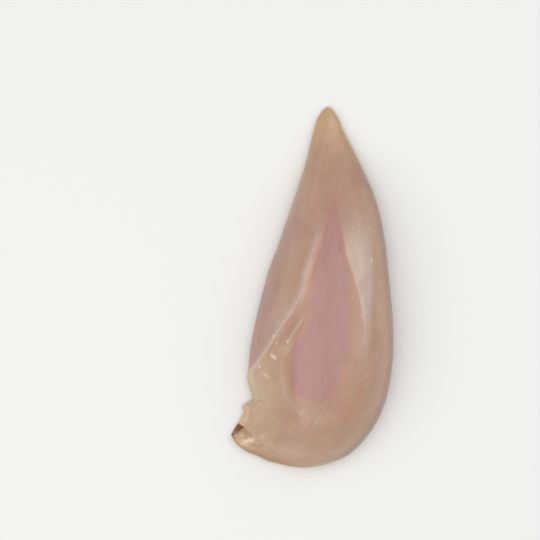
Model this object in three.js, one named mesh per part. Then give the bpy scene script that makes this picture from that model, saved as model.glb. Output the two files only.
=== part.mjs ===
// A raw chicken breast fillet, boned and skinned, lying on its flat rib side with the skin side up.
// It is one piece of meat: thick and round at the shoulder end (towards -Y), thin and pointed at the
// tail (towards +Y). Millimetres, +Z up. The origin is under the middle of the fillet, on the board.
//
// The skin side is a height over the board, found from three things: how far a point lies inside the
// outline (the flank rounds up from the rim), how thick the meat is there (the crown), and the low
// relief on top of it (folds of membrane, a swelling, a tear, scraps of fat).

import * as THREE from "three";

// Driving dimensions
const LENGTH = 163;
const HALF_WIDTH = 36;
const THICKNESS = 30;

// Places are shares of the driving dimensions: [across, along]. Across runs from -1 to 1 of the half
// width, and along from 0 at the shoulder end to 1 at the tail.
const place = ([across, along]) => new THREE.Vector2(across * HALF_WIDTH, along * LENGTH);

// The outline seen from above, without its torn places, round the right side and back down the left
const SHOULDER_END = [-0.11, 0];
const RIGHT_SIDE = [
  [0.36, 0.028],
  [0.68, 0.095],
  [0.878, 0.181],
  [0.969, 0.288],
  [0.978, 0.393],
  [0.933, 0.515],
  [0.88, 0.626],
  [0.765, 0.742],
  [0.545, 0.853],
  [0.375, 0.926],
  [0.285, 0.972],
];
const TAIL_TIP = [0.167, 1];
const LEFT_SIDE = [
  [0.045, 0.972],
  [-0.03, 0.92],
  [-0.11, 0.847],
  [-0.225, 0.767],
  [-0.36, 0.681],
  [-0.465, 0.613],
  [-0.585, 0.54],
  [-0.705, 0.442],
  [-0.8, 0.344],
  [-0.842, 0.264],
  [-0.911, 0.172],
  [-0.944, 0.11],
  [-0.905, 0.052],
  [-0.72, 0.031],
  [-0.528, 0.0135],
];

// Torn places on the left rim. Each moves the rim inwards by depth (outwards if negative), most at
// along, and fades over down towards the shoulder end and up towards the tail. It is pointed where
// the power is high, and blunt where it is low.
const TEARS = [
  { along: 0.088, depth: -4, down: 6.5, up: 6.2, power: 0.8 }, // scrap of fat and tendon
  { along: 0.152, depth: 1.3, down: 3, up: 2.6, power: 1.15 }, // small nick
  { along: 0.187, depth: 4.4, down: 3, up: 10, power: 1.15 }, // wedge torn out of the thin edge
];
const TEAR_INFLUENCE = 1.6; // the meat is shifted with a tear over this many times its depth

// Round the tears the rim is thinner, the meat rises from it more slowly, and the relief comes in
// over a shorter margin.
const TORN_RIM = { along: 0.13, reach: 20, thinner: 0.4, flatter: 0.5, margin: 5.5 };

// Profiles along the fillet: [along, millimetres]
const CROWN = [
  [0, 0.72 * THICKNESS],
  [0.12, 0.88 * THICKNESS],
  [0.27, 0.99 * THICKNESS],
  [0.4, THICKNESS],
  [0.53, 0.94 * THICKNESS],
  [0.66, 0.78 * THICKNESS],
  [0.78, 0.51 * THICKNESS],
  [0.89, 0.23 * THICKNESS],
  [1, 0.09 * THICKNESS],
];
const RIM_HEIGHT = [
  [0, 7],
  [0.2, 8],
  [0.45, 7.5],
  [0.7, 5],
  [0.88, 2.5],
  [1, 1.2],
];
const FLANK_REACH = [
  [0, 30],
  [0.3, 31],
  [0.55, 27.5],
  [0.68, 23],
  [0.8, 17],
  [0.9, 11],
  [1, 5],
];
const CROWN_PATH = [
  [0, 0],
  [0.3, 4],
  [0.55, 6.5],
  [0.8, 8],
  [1, 6],
];
const ARCH = 0.2; // how far the crown falls, as a share of its height, one half width from its path
const FLANK_POWER = 2.8;
const FLANK_EASE_RIGHT = 0.6; // plump, nearly upright flank
const FLANK_EASE_LEFT = 0.82; // flank that slopes down to a thinner edge
const LEFT_REACH_GAIN = 0.28; // the left flank slopes over a longer way
const THIN_EDGE = 0.45; // share by which the left rim is lower
const ROLL_UNDER = 5.5; // how far in from the rim the meat meets the board

// The thin left side and the round rest of the rim meet at this share along. Where a place is about
// as far from both, its distance inside is blended over this share of the two distances.
const TORN_CORNER = 0.075;
const BLENDED = 0.4;

// The thin left flank takes over from the plump right one on the way between these two distances
// across, and gives way to the tail between these two shares along.
const LEFT_FLANK = { across: [6, -18], along: [0.55, 0.85] };

// Low relief on the skin side. A fold is a raised line of membrane along a path. The meat on the
// right of someone who walks along it lies lower by drop, goes down over step, and comes up again
// over back. The fold fades over a share of the path at each end.
const FOLDS = [
  {
    path: [
      [0.19, 0.76],
      [0.09, 0.68],
      [-0.006, 0.61],
      [-0.108, 0.53],
      [-0.208, 0.464],
      [-0.41, 0.395],
      [-0.6, 0.33],
      [-0.84, 0.25],
    ],
    height: 0.5,
    width: 1.9,
    drop: 2.4,
    step: 5,
    back: 22,
    fadeIn: 0.35,
    fadeOut: 0.15,
  },
  {
    path: [
      [0.28, 0.7],
      [0.36, 0.598],
      [0.46, 0.54],
      [0.55, 0.47],
      [0.58, 0.41],
      [0.57, 0.35],
      [0.53, 0.29],
    ],
    height: 0.25,
    width: 2.2,
    drop: 0.6,
    step: 5,
    back: 9,
    fadeIn: 0.3,
    fadeOut: 0.5,
  },
  {
    // The flap above the slit lies over the meat below it.
    path: [
      [-1.03, 0.13],
      [-0.895, 0.1105],
      [-0.82, 0.096],
      [-0.745, 0.083],
      [-0.64, 0.0745],
      [-0.5, 0.07],
    ],
    height: 0.5,
    width: 1.6,
    drop: 2.4,
    step: 3,
    back: 11,
    fadeIn: 0.1,
    fadeOut: 0.5,
  },
];
const MOUNDS = [
  { at: [0.04, 0.28], wide: 13, long: 21, height: 0.9 }, // swelling
  { at: [0.64, 0.5], wide: 3.4, long: 26, height: 0.6 }, // band of fascia along the right
  { at: [-0.95, 0.17], wide: 15, long: 18, height: -2 }, // thin torn corner
  { at: [-0.98, 0.115], wide: 3.4, long: 2.4, height: -1.6 }, // slit
  { at: [-0.97, 0.08], wide: 2.4, long: 2, height: 1.2 }, // fat
  { at: [-0.85, 0.077], wide: 2.6, long: 1.6, height: 1.4 },
  { at: [-0.74, 0.068], wide: 2.2, long: 1.4, height: 0.9 },
];
const WAVES = [
  { height: 0.3, across: 57, along: 94, phase: 0.6 },
  { height: 0.3, across: 60, along: -90, phase: 1.4 },
  { height: 0.2, across: 31, along: -69, phase: 0 },
];
const RELIEF_MARGIN = 8; // the relief comes in over this distance from the rim
const LEAST_THICKNESS = 1; // from this distance inside the rim on, the meat is no thinner than this
const TAIL_CALM = { from: 0.75, share: 0.7 }; // and fades by this share towards the tail tip

// Steps of the mesh
const STATIONS = 104;
const TORN_STRETCH = { along: 0.17, reach: 26, closer: 0.9 }; // stations are closer together here
const TOP_STEPS = 42;
const UNDER_STEPS = 4;
const FLAT_STEPS = 3;
const OUTLINE_STEPS = 24; // on each stretch between two outline points

const { clamp, lerp, smoothstep } = THREE.MathUtils;

/** A smooth curve through [along, value] pairs, read at a distance y along the fillet. */
function profile(pairs, y) {
  const share = clamp(y / LENGTH, 0, 1);
  const last = pairs.length - 1;
  const i = Math.min(pairs.findLastIndex(([at]) => at <= share), last - 1);
  const slope = (k) => {
    const [before, after] = [pairs[Math.max(k - 1, 0)], pairs[Math.min(k + 1, last)]];
    return (after[1] - before[1]) / (after[0] - before[0]);
  };
  const [[from, low], [to, high]] = [pairs[i], pairs[i + 1]];
  const [gap, f] = [to - from, (share - from) / (to - from)];
  const bend = gap * f * (1 - f) * (slope(i) * (1 - f) - slope(i + 1) * f);
  return lerp(low, high, f * f * (3 - 2 * f)) + bend;
}

/** Points at equal steps of length along a line, closer together where the rim is torn. */
function spread(line, steps) {
  const { along, reach, closer } = TORN_STRETCH;
  const gone = [0];
  for (let i = 1; i < line.length; i++) {
    const weight = 1 + closer * Math.exp(-(((line[i].y - along * LENGTH) / reach) ** 2));
    gone.push(gone[i - 1] + line[i].distanceTo(line[i - 1]) * weight);
  }
  return Array.from({ length: steps + 1 }, (_, k) => {
    const wanted = (k / steps) * gone.at(-1);
    const i = clamp(gone.findIndex((g) => g >= wanted), 1, line.length - 1);
    return line[i - 1].clone().lerp(line[i], (wanted - gone[i - 1]) / (gone[i] - gone[i - 1]));
  });
}

/** The right and left rims, each from the shoulder end to the tail tip, as many points on both. */
function rims() {
  const points = [SHOULDER_END, ...RIGHT_SIDE, TAIL_TIP, ...LEFT_SIDE].map(place);
  const corners = points.map(({ x, y }) => new THREE.Vector3(x, y, 0));
  const curve = new THREE.CatmullRomCurve3(corners, true, "catmullrom");
  const line = curve
    .getPoints(points.length * OUTLINE_STEPS)
    .map(({ x, y }) => new THREE.Vector2(x, y));
  const tip = (RIGHT_SIDE.length + 1) * OUTLINE_STEPS;
  return {
    right: spread(line.slice(0, tip + 1), STATIONS),
    left: spread(line.slice(tip).reverse(), STATIONS),
  };
}

/** How far the tears move a point to the right, at y along and a distance in from the left rim. */
function tornBy(y, fromLeft) {
  return TEARS.reduce((sum, { along, depth, down, up, power }) => {
    const away = y - along * LENGTH;
    const tent = Math.max(0, 1 - Math.abs(away) / (away < 0 ? down : up)) ** power;
    const reach = TEAR_INFLUENCE * Math.abs(depth);
    return sum + depth * tent * Math.exp(-((fromLeft / reach) ** 2));
  }, 0);
}

/**
 * The nearest place on a line of points: how far off it is, positive where the point lies on the
 * right of someone who walks along the line, and which share of the line lies before it.
 */
function nearest(line, x, y) {
  let best = { off: Infinity, share: 0 };
  for (let i = 1; i < line.length; i++) {
    const [a, b] = [line[i - 1], line[i]];
    const [dx, dy] = [b.x - a.x, b.y - a.y];
    const f = clamp(((x - a.x) * dx + (y - a.y) * dy) / (dx * dx + dy * dy), 0, 1);
    const off = Math.hypot(x - a.x - f * dx, y - a.y - f * dy);
    if (off < Math.abs(best.off)) {
      const side = Math.sign((x - a.x) * dy - (y - a.y) * dx) || 1;
      best = { off: side * off, share: (i - 1 + f) / (line.length - 1) };
    }
  }
  return best;
}

const foldLines = FOLDS.map(({ path }) => {
  return new THREE.SplineCurve(path.map(place)).getPoints(path.length * 6);
});

/** The relief of one fold: a raised line, with lower meat on its right. */
function fold({ height, width, drop, step, back, fadeIn, fadeOut }, line, x, y) {
  const { off, share } = nearest(line, x, y);
  const fade = smoothstep(share, 0, fadeIn) * smoothstep(1 - share, 0, fadeOut);
  const ridge = height * Math.exp(-((off / width) ** 2));
  const rise = Math.exp(-((Math.max(0, off) / back) ** 2));
  const lower = drop * smoothstep(off, -0.3 * step, 0.7 * step) * rise;
  return fade * (ridge - lower);
}

/** The smaller of two distances, rounded off where they are nearly the same. */
function softMin(a, b) {
  const over = Math.max(BLENDED * (a + b), 1e-6);
  const close = Math.max(1 - Math.abs(a - b) / over, 0);
  return Math.min(a, b) - (close * close * over) / 4;
}

/** The larger of two heights, rounded off where they are nearly the same. */
function softMax(a, b, rounding) {
  return (a + b + Math.hypot(a - b, rounding)) / 2;
}

/** All the low relief on the skin side at one place. */
function relief(x, y) {
  const waves = WAVES.reduce((sum, { height, across, along, phase }) => {
    return sum + height * Math.sin(2 * Math.PI * (x / across + y / along) + phase);
  }, 0);
  const raised = MOUNDS.reduce((sum, { at, wide, long, height }) => {
    const middle = place(at);
    return sum + height * Math.exp(-(((x - middle.x) / wide) ** 2) - ((y - middle.y) / long) ** 2);
  }, waves);
  return FOLDS.reduce((sum, one, i) => sum + fold(one, foldLines[i], x, y), raised);
}

/** 0 on the plump right and in the tail, 1 on the thin left flank. */
function leftness(x, y) {
  const { across, along } = LEFT_FLANK;
  return smoothstep(-x, -across[0], -across[1]) * (1 - smoothstep(y / LENGTH, ...along));
}

/** 1 on the left rim at the tears, fading along it and towards the plump right side. */
function tornness(x, y) {
  return leftness(x, y) * Math.exp(-(((y - TORN_RIM.along * LENGTH) / TORN_RIM.reach) ** 2));
}

/** Height of the rim, the widest line round the fillet: lower on the thin and torn left edge. */
function rimHeight(x, y) {
  const lower = THIN_EDGE * leftness(x, y) + (1 - THIN_EDGE) * TORN_RIM.thinner * tornness(x, y);
  return profile(RIM_HEIGHT, y) * (1 - lower);
}

/** Height of the skin side, without relief, at a place that lies inside by a distance. */
function skinSide(x, y, inside) {
  const left = leftness(x, y);
  const rim = rimHeight(x, y);
  const near = clamp(inside / (profile(FLANK_REACH, y) * (1 + LEFT_REACH_GAIN * left)), 0, 1);
  const ease = lerp(FLANK_EASE_RIGHT, FLANK_EASE_LEFT, left) + TORN_RIM.flatter * tornness(x, y);
  const flank = (1 - (1 - near) ** FLANK_POWER) ** ease;
  const aside = (x - profile(CROWN_PATH, y)) / HALF_WIDTH;
  const crown = profile(CROWN, y) * (1 - ARCH * aside * aside);
  return rim + flank * (crown - rim);
}

/** Height of the underside: the meat rolls under the rim and then lies flat on the board. */
function underside(x, y, inside) {
  const near = clamp(inside / Math.min(ROLL_UNDER, 0.45 * profile(FLANK_REACH, y)), 0, 1);
  return rimHeight(x, y) * (1 - Math.sqrt(1 - (1 - near) ** 2));
}

/** Shares across a station, from the right rim to the left, where the underside has its points. */
function underShares(width) {
  const rolled = Math.min((1.3 * ROLL_UNDER) / width, 0.3);
  const rounding = Array.from({ length: UNDER_STEPS }, (_, k) => {
    return rolled * (1 - Math.cos(((k + 1) / UNDER_STEPS) * (Math.PI / 2)));
  });
  const level = Array.from({ length: FLAT_STEPS - 1 }, (_, k) => {
    return lerp(rolled, 1 - rolled, (k + 1) / FLAT_STEPS);
  });
  return [...rounding, ...level, ...rounding.map((share) => 1 - share).reverse()];
}

/** One ring of points round the fillet at a station between a left and a right rim point. */
function stationRing(left, right, insideOf) {
  const width = left.distanceTo(right);
  const strength = 1 - TAIL_CALM.share * smoothstep(left.y / LENGTH, TAIL_CALM.from, 1);

  // A point over the share of the way from left to right, moved with the torn rim
  const point = (share, height) => {
    const { x, y } = left.clone().lerp(right, share);
    const inside = insideOf(x, y);
    const moved = x + tornBy(left.y, share * width);
    return new THREE.Vector3(moved, y, height(x, y, inside, moved));
  };
  const top = (x, y, inside, moved) => {
    const margin = lerp(RELIEF_MARGIN, TORN_RIM.margin, tornness(x, y));
    const settled = strength * smoothstep(inside, 0, margin);
    const least = Math.min(LEAST_THICKNESS, inside);
    const height = skinSide(x, y, inside) + relief(moved, y) * settled;
    return softMax(height, underside(x, y, inside) + least, least / 2);
  };

  const ring = [];
  for (let i = 0; i <= TOP_STEPS; i++) {
    const share = (1 - Math.cos((i / TOP_STEPS) * Math.PI)) / 2;
    ring.push(point(share, i % TOP_STEPS ? top : rimHeight));
  }
  for (const share of underShares(width)) ring.push(point(1 - share, underside));
  return ring;
}

/** The whole skin of the fillet as one closed surface: rings of points across it, and two ends. */
function filletGeometry() {
  const { right, left } = rims();
  const corner = left.findIndex(({ y }) => y > TORN_CORNER * LENGTH);
  const thinSide = left.slice(corner);
  const roundSide = [...right.toReversed(), ...left.slice(1, corner + 1)];
  const insideOf = (x, y) => {
    const [a, b] = [thinSide, roundSide].map((line) => Math.abs(nearest(line, x, y).off));
    return softMin(a, b);
  };
  const rings = [];
  for (let k = 1; k < STATIONS; k++) rings.push(stationRing(left[k], right[k], insideOf));
  const ends = [right[0], right[STATIONS]].map(({ x, y }) => {
    return new THREE.Vector3(x, y, rimHeight(x, y));
  });

  const around = rings[0].length;
  const [shoulder, tail] = [rings.length * around, rings.length * around + 1];
  const faces = [];
  for (let i = 0; i < around; i++) {
    const j = (i + 1) % around;
    faces.push(shoulder, j, i);
    for (let k = 0; k < shoulder - around; k += around) {
      faces.push(k + i, k + j, k + around + j, k + i, k + around + j, k + around + i);
    }
    faces.push(tail, shoulder - around + i, shoulder - around + j);
  }

  const geometry = new THREE.BufferGeometry().setFromPoints([...rings.flat(), ...ends]);
  geometry.setIndex(faces);
  geometry.computeVertexNormals();
  geometry.computeBoundingBox();
  return geometry;
}

/** The fillet, placed so that the middle of its base lies on the origin. */
function chickenBreast() {
  const flesh = new THREE.MeshStandardMaterial({ color: 0xc09d88, roughness: 0.42, metalness: 0 });
  const mesh = new THREE.Mesh(filletGeometry(), flesh);
  mesh.name = "chicken_breast";
  const { min, max } = mesh.geometry.boundingBox;
  mesh.position.set(-(min.x + max.x) / 2, -(min.y + max.y) / 2, -min.z);
  return mesh;
}

const fillet = new THREE.Group();
fillet.name = "raw_chicken_breast";
fillet.add(chickenBreast());

export default fillet;
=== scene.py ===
"""A raw chicken breast fillet, boned and skinned, lying on its flat rib side with the skin side up.

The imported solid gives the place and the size. Its node is replaced by a finer surface of the same
form, with the marks of the real meat in it: the fold of fascia that crosses it, the smooth lower
strip beside the fold, the pink heart of the muscle, the torn corner with its slit, flap and fat,
and the grain of the fibres. Lengths in the form are millimetres, measured from the shoulder end;
the finished meshes are in metres, in the frame of the solid.
"""

import logging
import math
from dataclasses import dataclass, replace
from enum import Enum

import bpy
import numpy as np
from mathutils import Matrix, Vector


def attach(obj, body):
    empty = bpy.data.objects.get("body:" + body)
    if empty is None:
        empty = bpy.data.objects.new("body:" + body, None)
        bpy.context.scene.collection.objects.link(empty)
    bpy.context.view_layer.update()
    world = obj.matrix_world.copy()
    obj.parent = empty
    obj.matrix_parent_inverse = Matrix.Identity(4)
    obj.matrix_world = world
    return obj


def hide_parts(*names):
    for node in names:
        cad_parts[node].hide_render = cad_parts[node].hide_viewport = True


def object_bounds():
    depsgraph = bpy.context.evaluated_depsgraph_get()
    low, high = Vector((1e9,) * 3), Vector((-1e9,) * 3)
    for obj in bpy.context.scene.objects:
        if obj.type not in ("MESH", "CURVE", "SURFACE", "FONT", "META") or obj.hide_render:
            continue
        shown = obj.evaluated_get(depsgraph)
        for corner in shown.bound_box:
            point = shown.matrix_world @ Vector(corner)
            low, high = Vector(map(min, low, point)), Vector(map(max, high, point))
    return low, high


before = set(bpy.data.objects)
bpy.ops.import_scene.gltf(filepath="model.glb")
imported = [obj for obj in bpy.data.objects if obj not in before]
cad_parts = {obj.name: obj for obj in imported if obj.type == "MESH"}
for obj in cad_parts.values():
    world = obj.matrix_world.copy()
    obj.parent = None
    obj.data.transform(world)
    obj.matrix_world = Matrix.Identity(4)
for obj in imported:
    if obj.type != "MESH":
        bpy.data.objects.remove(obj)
CAD_LOW, CAD_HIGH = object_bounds()

LOG = logging.getLogger("chicken_breast")
NODE = "chicken_breast"
BODY = "root"

Array = np.ndarray
# A span is two numbers, such as a place, or the start and the end of a smooth step. A window holds
# the four numbers of window(), and pairs are the corners of a line, or places with their values
Span = tuple[float, float]
Window = tuple[float, float, float, float]
Pairs = tuple[Span, ...]
# The span of the numbers that go in, and the span that they are turned into
Mapped = tuple[Span, Span]


# Small mathematics


def smoothstep(value: Array, start: float, end: float) -> Array:
    """Rises smoothly from 0 at start to 1 at end: f squared times (3 - 2 f), with f held in 0..1.

    Args:
        value: The numbers to read.
        start: Where the rise starts.
        end: Where it ends; it may be below start, and then the result falls.

    Returns:
        Numbers from 0 to 1, in the shape of value.
    """
    share = np.clip((value - start) / (end - start), 0.0, 1.0)
    return share * share * (3.0 - 2.0 * share)


def window(value: Array, start: float, full: float, fading: float, end: float) -> Array:
    """A rise from 0 at start to 1 at full, times a fall from 1 at fading to 0 at end."""
    return smoothstep(value, start, full) * smoothstep(value, end, fading)


def bell(value: Array, width: float) -> Array:
    """A bell: e to the power of minus (value / width) squared."""
    return np.exp(-((value / width) ** 2))


def profile(pairs: Pairs, share: Array) -> Array:
    """A smooth curve through (place, value) pairs, as cubic Hermite pieces.

    The slope at a pair is that of the chord between its two neighbours.

    Args:
        pairs: Places in rising order, each with its value.
        share: The places to read.

    Returns:
        The values there, in the shape of share.
    """
    at, value = np.array(pairs, float).T
    before = np.r_[0, np.arange(len(at) - 1)]
    after = np.r_[np.arange(1, len(at)), len(at) - 1]
    slope = (value[after] - value[before]) / (at[after] - at[before])
    held = np.clip(share, at[0], at[-1])
    i = np.clip(np.searchsorted(at, held, side="right") - 1, 0, len(at) - 2)
    gap = at[i + 1] - at[i]
    f = (held - at[i]) / gap
    bend = gap * f * (1 - f) * (slope[i] * (1 - f) - slope[i + 1] * f)
    return value[i] + (value[i + 1] - value[i]) * f * f * (3 - 2 * f) + bend


def catmull_rom(points: Array, steps: int, closed: bool = False) -> Array:
    """A smooth line through points: uniform Catmull-Rom, steps pieces to each stretch.

    Args:
        points: Rows of coordinates.
        steps: How many pieces each stretch between two points gets.
        closed: Whether the line runs on from the last point to the first.

    Returns:
        Rows of coordinates along the line, with both ends (a closed line ends on its start).
    """
    count = len(points)
    stretches = count if closed else count - 1
    place = np.arange(stretches * steps + 1) / steps
    i = np.minimum(place.astype(int), stretches - 1)
    f = (place - i)[:, None]

    def pick(k: Array) -> Array:
        """The points with these numbers, counted round or held at the ends."""
        return points[k % count] if closed else points[np.clip(k, 0, count - 1)]

    p0, p1, p2, p3 = pick(i - 1), pick(i), pick(i + 1), pick(i + 2)
    v1, v2 = (p2 - p0) / 2, (p3 - p1) / 2
    cubic = (2 * p1 - 2 * p2 + v1 + v2) * f**3
    return cubic + (-3 * p1 + 3 * p2 - 2 * v1 - v2) * f**2 + v1 * f + p1


def nearest(line: Array, x: Array, y: Array) -> tuple[Array, Array]:
    """The nearest place on a line of points, found stretch by stretch for all places at once.

    Args:
        line: Rows of two coordinates.
        x: Places across.
        y: Places along, in the shape of x.

    Returns:
        How far off each place is, positive on the right of someone who walks along the line, and
        which share of the line lies before the nearest point.
    """
    off = np.full(x.shape, np.inf)
    share = np.zeros(x.shape)
    for i, (a, b) in enumerate(zip(line[:-1], line[1:])):
        d = b - a
        f = np.clip(((x - a[0]) * d[0] + (y - a[1]) * d[1]) / (d @ d), 0.0, 1.0)
        away = np.hypot(x - a[0] - f * d[0], y - a[1] - f * d[1])
        side = np.where((x - a[0]) * d[1] - (y - a[1]) * d[0] < 0, -1.0, 1.0)
        closer = away < np.abs(off)
        off = np.where(closer, side * away, off)
        share = np.where(closer, (i + f) / (len(line) - 1), share)
    return off, share


def value_noise(u: Array, v: Array, seed: int) -> Array:
    """Smooth seeded noise: random values on a square lattice, blended between by smooth steps.

    Args:
        u: First coordinate, in lattice cells.
        v: Second coordinate, in lattice cells.
        seed: Which noise.

    Returns:
        Numbers from -1 to 1.
    """
    cells = 64
    table = np.random.default_rng(seed).uniform(-1.0, 1.0, (cells, cells))
    iu, iv = np.floor(u).astype(int), np.floor(v).astype(int)
    fu, fv = smoothstep(u - iu, 0.0, 1.0), smoothstep(v - iv, 0.0, 1.0)
    low, high = (
        table[iu % cells, row % cells] * (1 - fu) + table[(iu + 1) % cells, row % cells] * fu
        for row in (iv, iv + 1)
    )
    return low * (1 - fv) + high * fv


@dataclass(frozen=True)
class Noise:
    """A seeded noise: how strong it is, how large its cells are both ways, and which one it is."""

    amount: float
    across: float
    along: float
    seed: int

    def at(self, u: Array, v: Array) -> Array:
        """The noise at these places, between minus and plus its amount."""
        return self.amount * value_noise(u / self.across, v / self.along, self.seed)


@dataclass(frozen=True)
class Stripe:
    """A soft stripe beside a line: how strong it is, how far to the right of the line its middle
    runs, how wide it is, and the window along the line in which it shows.

    Where no window is given, it shows all along a line that is measured in shares.
    """

    strength: float
    at: float
    half: float
    along: Window = (-1.0, 0.0, 1.0, 2.0)

    def shown(self, off: Array, along: Array) -> Array:
        """Its strength this far to the right of the line and this far along: a bell in a window."""
        return self.strength * bell(off - self.at, self.half) * window(along, *self.along)


# The form of the fillet, the same as that of the solid


@dataclass(frozen=True)
class Fold:
    """A raised line on the skin side, with lower meat on the right of someone who walks along it.

    It is a ridge of some height and width, and a drop over a step across the line, which comes back
    up further off. It fades in and out over shares of its path. Places on the path are shares of
    the driving dimensions; the other lengths are millimetres.
    """

    path: Pairs
    height: float
    width: float
    drop: float = 0.0
    step: float = 1.0
    step_lies: Span = (-0.3, 0.7)
    back: float = 1.0
    fade_in: float = 0.3
    fade_out: float = 0.3


@dataclass(frozen=True)
class Mound:
    """A soft mound, or a hollow if its height is negative, at a place in shares."""

    at: Span
    wide: float
    long: float
    height: float


@dataclass(frozen=True)
class Wave:
    """A wave over the skin side: its height, its lengths across and along, and its phase."""

    height: float
    across: float
    along: float
    phase: float


@dataclass(frozen=True)
class Tear:
    """A torn place on the left rim, which moves the rim inwards (outwards if depth is negative).

    It is most at along, fades over down towards the shoulder end and up towards the tail, and is
    pointed where the power is high, and blunt where it is low.
    """

    along: float
    depth: float
    down: float
    up: float
    power: float = 1.15


@dataclass(frozen=True)
class TornRim:
    """How the left rim differs round its tears.

    Round the share along, over reach, it is thinner, the meat rises from it more slowly, and the
    relief comes in over a shorter margin.
    """

    along: float = 0.13
    reach: float = 20.0
    thinner: float = 0.4
    flatter: float = 0.5
    margin: float = 5.5


@dataclass(frozen=True)
class FilletForm:
    """The form of the fillet: its outline, its heights and the low relief on its skin side."""

    length: float = 163.0
    half_width: float = 36.0
    thickness: float = 30.0
    shoulder_end: Span = (-0.11, 0.0)
    right_side: Pairs = (
        (0.36, 0.028), (0.68, 0.095), (0.878, 0.181), (0.969, 0.288), (0.978, 0.393),
        (0.933, 0.515), (0.88, 0.626), (0.765, 0.742), (0.545, 0.853), (0.375, 0.926),
        (0.285, 0.972),
    )
    tail_tip: Span = (0.167, 1.0)
    left_side: Pairs = (
        (0.045, 0.972), (-0.03, 0.92), (-0.11, 0.847), (-0.225, 0.767), (-0.36, 0.681),
        (-0.465, 0.613), (-0.585, 0.54), (-0.705, 0.442), (-0.8, 0.344), (-0.842, 0.264),
        (-0.911, 0.172), (-0.944, 0.11), (-0.905, 0.052), (-0.72, 0.031), (-0.528, 0.0135),
    )
    tears: tuple[Tear, ...] = (
        Tear(along=0.088, depth=-4, down=6.5, up=6.2, power=0.8),
        Tear(along=0.152, depth=1.3, down=3, up=2.6),
        Tear(along=0.187, depth=4.4, down=3, up=10),
    )
    tear_influence: float = 1.6
    torn_rim: TornRim = TornRim()
    torn_corner: float = 0.075
    blended: float = 0.4
    crown: Pairs = (
        (0, 0.72), (0.12, 0.88), (0.27, 0.99), (0.4, 1.0), (0.53, 0.94), (0.66, 0.78),
        (0.78, 0.51), (0.89, 0.23), (1, 0.09),
    )
    rim: Pairs = ((0, 7), (0.2, 8), (0.45, 7.5), (0.7, 5), (0.88, 2.5), (1, 1.2))
    flank_reach: Pairs = (
        (0, 30), (0.3, 31), (0.55, 27.5), (0.68, 23), (0.8, 17), (0.9, 11), (1, 5),
    )
    crown_path: Pairs = ((0, 0), (0.3, 4), (0.55, 6.5), (0.8, 8), (1, 6))
    arch: float = 0.2
    flank_power: float = 2.8
    flank_ease_right: float = 0.6
    flank_ease_left: float = 0.82
    left_reach_gain: float = 0.28
    thin_edge: float = 0.45
    roll_under: float = 5.5
    roll_most: float = 0.45
    bed_middle: float = 9.0
    bed_drift: float = 4.0
    bed: Stripe = Stripe(1, 0, 10, (10, 34, 88, 132))
    left_flank_across: Span = (6, -18)
    left_flank_along: Span = (0.55, 0.85)
    fascia_fold: Fold = Fold(
        path=(
            (0.19, 0.76), (0.09, 0.68), (-0.006, 0.61), (-0.108, 0.53), (-0.208, 0.464),
            (-0.41, 0.395), (-0.6, 0.33), (-0.84, 0.25),
        ),
        height=0.5, width=1.9, drop=2.4, step=5, back=22, fade_in=0.35, fade_out=0.15,
    )
    right_fold: Fold = Fold(
        path=(
            (0.28, 0.7), (0.36, 0.598), (0.46, 0.54), (0.55, 0.47), (0.58, 0.41), (0.57, 0.35),
            (0.53, 0.29),
        ),
        height=0.25, width=2.2, drop=0.6, step=5, back=9, fade_out=0.5,
    )
    slit: Fold = Fold(
        path=(
            (-1.03, 0.13), (-0.895, 0.1105), (-0.82, 0.096), (-0.745, 0.083), (-0.64, 0.0745),
            (-0.5, 0.07),
        ),
        height=0.5, width=1.6, drop=2.4, step=3, back=11, fade_in=0.1, fade_out=0.5,
    )
    mounds: tuple[Mound, ...] = (
        Mound(at=(0.04, 0.28), wide=13, long=21, height=0.9),
        Mound(at=(0.64, 0.5), wide=3.4, long=26, height=0.6),
        Mound(at=(-0.95, 0.17), wide=15, long=18, height=-2),
        Mound(at=(-0.98, 0.115), wide=3.4, long=2.4, height=-1.6),
        Mound(at=(-0.97, 0.08), wide=2.4, long=2, height=1.2),
        Mound(at=(-0.85, 0.077), wide=2.6, long=1.6, height=1.4),
        Mound(at=(-0.74, 0.068), wide=2.2, long=1.4, height=0.9),
    )
    waves: tuple[Wave, ...] = (
        Wave(height=0.3, across=57, along=94, phase=0.6),
        Wave(height=0.3, across=60, along=-90, phase=1.4),
        Wave(height=0.2, across=31, along=-69, phase=0),
    )
    relief_margin: float = 8.0
    least_thickness: float = 1.0
    tail_calm_from: float = 0.75
    tail_calm: float = 0.7
    closer_at: float = 0.17
    closer_over: float = 26.0
    closer_by: float = 0.9
    outline_pieces: int = 60
    outline_steps: int = 280
    measured_steps: int = 400
    fold_pieces: int = 10

    def place(self, shares: Pairs) -> Array:
        """Places in shares of the half width and the length, as rows of millimetres."""
        return np.array(shares, float) * (self.half_width, self.length)

    def fold_line(self, fold: Fold) -> Array:
        """The path of a fold as a smooth line of points, in millimetres."""
        return catmull_rom(self.place(fold.path), self.fold_pieces)

    def spread(self, line: Array, steps: int) -> Array:
        """Points at equal steps of length along a line, closer together where the rim is torn.

        Args:
            line: Rows of millimetres.
            steps: How many steps.

        Returns:
            steps + 1 rows of millimetres.
        """
        beyond = line[1:, 1] - self.closer_at * self.length
        weight = 1 + self.closer_by * bell(beyond, self.closer_over)
        gone = np.r_[0, np.cumsum(np.hypot(*np.diff(line, axis=0).T) * weight)]
        wanted = np.linspace(0, gone[-1], steps + 1)
        return np.stack([np.interp(wanted, gone, line[:, k]) for k in (0, 1)], axis=1)

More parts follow.
